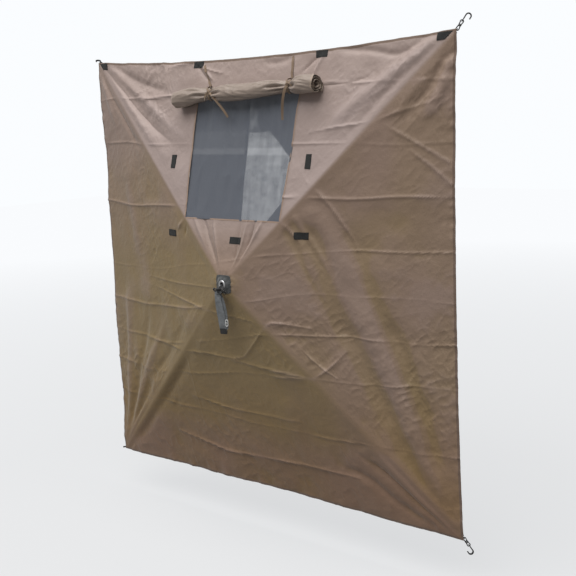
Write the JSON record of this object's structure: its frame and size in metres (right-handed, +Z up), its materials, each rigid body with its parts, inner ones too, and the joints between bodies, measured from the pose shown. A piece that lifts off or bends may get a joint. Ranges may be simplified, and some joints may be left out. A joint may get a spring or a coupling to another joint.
{
  "type": "pop up ground blind wall",
  "caption": "Square fabric wall of a pop up blind, stretched over four folding poles on a central hub, with a mesh window, roll-up flap, pull strap and corner hooks on elastic cords.",
  "frame": {"origin": "point on the hub axis where the four ridge lines of the fabric meet", "axes": "+Z up the wall, -Y out of its front face, X across it"},
  "size_m": [1.8469, 0.2707, 1.8051],
  "materials": {
    "shell_fabric": "woven polyester, taupe",
    "flap_fabric": "woven polyester, olive brown",
    "screen_mesh": "fine dark see-through mesh",
    "loop_tape": "black hook-and-loop tape",
    "tie_tape": "thin brown tape",
    "hub_plastic": "moulded black nylon",
    "steel": "plain steel",
    "grommet_metal": "bright nickel plate",
    "patch_webbing": "grey webbing",
    "strap_webbing": "grey webbing",
    "black_tape": "black webbing",
    "fibreglass": "black pultruded fibreglass",
    "black_plastic": "moulded black plastic",
    "elastic_cord": "black braided elastic"
  },
  "bodies": {
    "hub": {"hub_body": "hub_plastic", "hub_rear_plate": "hub_plastic", "hub_screws": "steel", "pivot_pins": "steel", "hub_crown": "shell_fabric", "hub_patch": "patch_webbing", "hub_grommet": "grommet_metal"},
    "strap": {"strap_loop": "strap_webbing", "strap_bar": "black_tape", "pull_strap": "strap_webbing", "strap_tip": "black_tape"},
    "arm_tl": {"socket_tl": "hub_plastic", "pole_tl": "fibreglass", "tip_tl": "black_plastic", "pocket_tl": "black_tape"},
    "arm_tr": {"socket_tr": "hub_plastic", "pole_tr": "fibreglass", "tip_tr": "black_plastic", "pocket_tr": "black_tape"},
    "arm_br": {"socket_br": "hub_plastic", "pole_br": "fibreglass", "tip_br": "black_plastic", "pocket_br": "black_tape"},
    "arm_bl": {"socket_bl": "hub_plastic", "pole_bl": "fibreglass", "tip_bl": "black_plastic", "pocket_bl": "black_tape"},
    "panel_top_left": {"fabric_top_left": "shell_fabric", "window_mesh_left": "screen_mesh", "loop_patches_left": "loop_tape", "tie_tape_left": "tie_tape"},
    "panel_top_right": {"fabric_top_right": "shell_fabric", "window_mesh_right": "screen_mesh", "loop_patches_right": "loop_tape", "tie_tape_right": "tie_tape"},
    "panel_right_upper": {"fabric_right_upper": "shell_fabric", "loop_patch_side_right": "loop_tape"},
    "panel_right_lower": {"fabric_right_lower": "shell_fabric"},
    "panel_bottom_right": {"fabric_bottom_right": "shell_fabric"},
    "panel_bottom_left": {"fabric_bottom_left": "shell_fabric"},
    "panel_left_lower": {"fabric_left_lower": "shell_fabric"},
    "panel_left_upper": {"fabric_left_upper": "shell_fabric", "loop_patch_side_left": "loop_tape"},
    "flap_left": {"flap_roll_left": "flap_fabric", "roll_tie_left": "tie_tape"},
    "flap_right": {"flap_roll_right": "flap_fabric", "roll_tie_right": "tie_tape"},
    "cord_tl": {"cord_tl": "elastic_cord"},
    "hook_tl": {"hook_tl": "black_plastic"},
    "cord_tr": {"cord_tr": "elastic_cord"},
    "hook_tr": {"hook_tr": "black_plastic"},
    "cord_br": {"cord_br": "elastic_cord"},
    "hook_br": {"hook_br": "black_plastic"},
    "cord_bl": {"cord_bl": "elastic_cord"},
    "hook_bl": {"hook_bl": "black_plastic"}
  },
  "joints": [
    {"name": "fold", "type": "hinge", "parent": "hub", "child": "arm_tr", "pos_m": [0.02446, 0.01807, 0.02362], "axis": [0.6947, 0, -0.7193], "range_deg": [0, 89.8], "deforming": ["hub_crown", "hub_patch", "flap_roll_left", "flap_roll_right", "roll_tie_left", "roll_tie_right", "strap_loop", "strap_bar", "pull_strap", "strap_tip"]},
    {"name": "fold_arm_tl", "type": "hinge", "parent": "hub", "child": "arm_tl", "pos_m": [-0.02446, 0.01807, 0.02362], "axis": [0.6947, 0, 0.7193], "range_deg": [0, 89.8]},
    {"name": "fold_arm_br", "type": "hinge", "parent": "hub", "child": "arm_br", "pos_m": [0.02446, 0.01807, -0.02362], "axis": [-0.6947, 0, -0.7193], "range_deg": [0, 89.8]},
    {"name": "fold_arm_bl", "type": "hinge", "parent": "hub", "child": "arm_bl", "pos_m": [-0.02446, 0.01807, -0.02362], "axis": [-0.6947, 0, 0.7193], "range_deg": [0, 89.8]},
    {"name": "fold_panel_top_left", "type": "hinge", "parent": "arm_tl", "child": "panel_top_left", "pos_m": [-0.44, 0.106, 0.425], "axis": [-0.7087, 0.1707, 0.6845], "range_deg": [0, 26.43]},
    {"name": "fold_panel_top_right", "type": "hinge", "parent": "arm_tr", "child": "panel_top_right", "pos_m": [0.44, 0.106, 0.425], "axis": [-0.7087, -0.1707, -0.6845], "range_deg": [0, 26.43]},
    {"name": "fold_panel_right_upper", "type": "hinge", "parent": "arm_tr", "child": "panel_right_upper", "pos_m": [0.44, 0.106, 0.425], "axis": [0.7087, 0.1707, 0.6845], "range_deg": [0, 28.87]},
    {"name": "fold_panel_right_lower", "type": "hinge", "parent": "arm_br", "child": "panel_right_lower", "pos_m": [0.44, 0.106, -0.425], "axis": [-0.7087, -0.1707, 0.6845], "range_deg": [0, 28.87]},
    {"name": "fold_panel_bottom_right", "type": "hinge", "parent": "arm_br", "child": "panel_bottom_right", "pos_m": [0.44, 0.106, -0.425], "axis": [0.7087, 0.1707, -0.6845], "range_deg": [0, 26.43]},
    {"name": "fold_panel_bottom_left", "type": "hinge", "parent": "arm_bl", "child": "panel_bottom_left", "pos_m": [-0.44, 0.106, -0.425], "axis": [0.7087, -0.1707, 0.6845], "range_deg": [0, 26.43]},
    {"name": "fold_panel_left_lower", "type": "hinge", "parent": "arm_bl", "child": "panel_left_lower", "pos_m": [-0.44, 0.106, -0.425], "axis": [-0.7087, 0.1707, -0.6845], "range_deg": [0, 28.87]},
    {"name": "fold_panel_left_upper", "type": "hinge", "parent": "arm_tl", "child": "panel_left_upper", "pos_m": [-0.44, 0.106, 0.425], "axis": [0.7087, -0.1707, -0.6845], "range_deg": [0, 28.87]},
    {"name": "strap_swing", "type": "hinge", "parent": "hub", "child": "strap", "pos_m": [0, -0.0086, -0.018], "axis": [-1, 0, 0], "range_deg": [0, 58]},
    {"name": "flap_unroll", "type": "slide", "parent": "panel_top_left", "child": "flap_left", "axis": [0, -0.242, -0.9703], "range_m": [0, 0.53], "stiffness_N_per_m": 6, "springref_m": -0.6},
    {"name": "flap_unroll_right", "type": "slide", "parent": "panel_top_right", "child": "flap_right", "axis": [0, -0.242, -0.9703], "range_m": [0, 0.5301], "stiffness_N_per_m": 6, "springref_m": -0.6},
    {"name": "cord_tl_swing", "type": "hinge", "parent": "arm_tl", "child": "cord_tl", "pos_m": [-0.87897, 0.22713, 0.8444], "axis": [0.28, -0.175, 0.9439], "range_deg": [-40, 40]},
    {"name": "hook_tl_swing", "type": "hinge", "parent": "cord_tl", "child": "hook_tl", "pos_m": [-0.89978, 0.24013, 0.85298], "axis": [0.28, -0.175, 0.9439], "range_deg": [-40, 40]},
    {"name": "cord_tr_swing", "type": "hinge", "parent": "arm_tr", "child": "cord_tr", "pos_m": [0.875, 0.22556, 0.84968], "axis": [-0.592, 0.805, -0.0394], "range_deg": [-40, 40]},
    {"name": "hook_tr_swing", "type": "hinge", "parent": "cord_tr", "child": "hook_tr", "pos_m": [0.8859, 0.23464, 0.87147], "axis": [-0.592, 0.805, -0.0394], "range_deg": [-40, 40]},
    {"name": "cord_br_swing", "type": "hinge", "parent": "arm_br", "child": "cord_br", "pos_m": [0.875, 0.22556, -0.84968], "axis": [-0.7101, 0.7013, -0.0628], "range_deg": [-40, 40]},
    {"name": "hook_br_swing", "type": "hinge", "parent": "cord_br", "child": "hook_br", "pos_m": [0.8859, 0.23464, -0.87147], "axis": [-0.7101, 0.7013, -0.0628], "range_deg": [-40, 40]},
    {"name": "cord_bl_swing", "type": "hinge", "parent": "arm_bl", "child": "cord_bl", "pos_m": [-0.87897, 0.22713, -0.8444], "axis": [-0.28, 0.175, 0.9439], "range_deg": [-40, 40]},
    {"name": "hook_bl_swing", "type": "hinge", "parent": "cord_bl", "child": "hook_bl", "pos_m": [-0.89978, 0.24013, -0.85298], "axis": [-0.28, 0.175, 0.9439], "range_deg": [-40, 40]}
  ],
  "couplings": [
    {"joint": "fold_arm_tl", "follows": "fold", "ratio": 1},
    {"joint": "fold_arm_br", "follows": "fold", "ratio": 1},
    {"joint": "fold_arm_bl", "follows": "fold", "ratio": 1},
    {"joint": "fold_panel_top_left", "follows": "fold", "ratio": 0.29375},
    {"joint": "fold_panel_top_right", "follows": "fold", "ratio": 0.29375},
    {"joint": "fold_panel_right_upper", "follows": "fold", "ratio": 0.32096},
    {"joint": "fold_panel_right_lower", "follows": "fold", "ratio": 0.32096},
    {"joint": "fold_panel_bottom_right", "follows": "fold", "ratio": 0.29375},
    {"joint": "fold_panel_bottom_left", "follows": "fold", "ratio": 0.29375},
    {"joint": "fold_panel_left_lower", "follows": "fold", "ratio": 0.32096},
    {"joint": "fold_panel_left_upper", "follows": "fold", "ratio": 0.32096},
    {"joint": "flap_unroll_right", "follows": "flap_unroll", "ratio": 1}
  ]
}
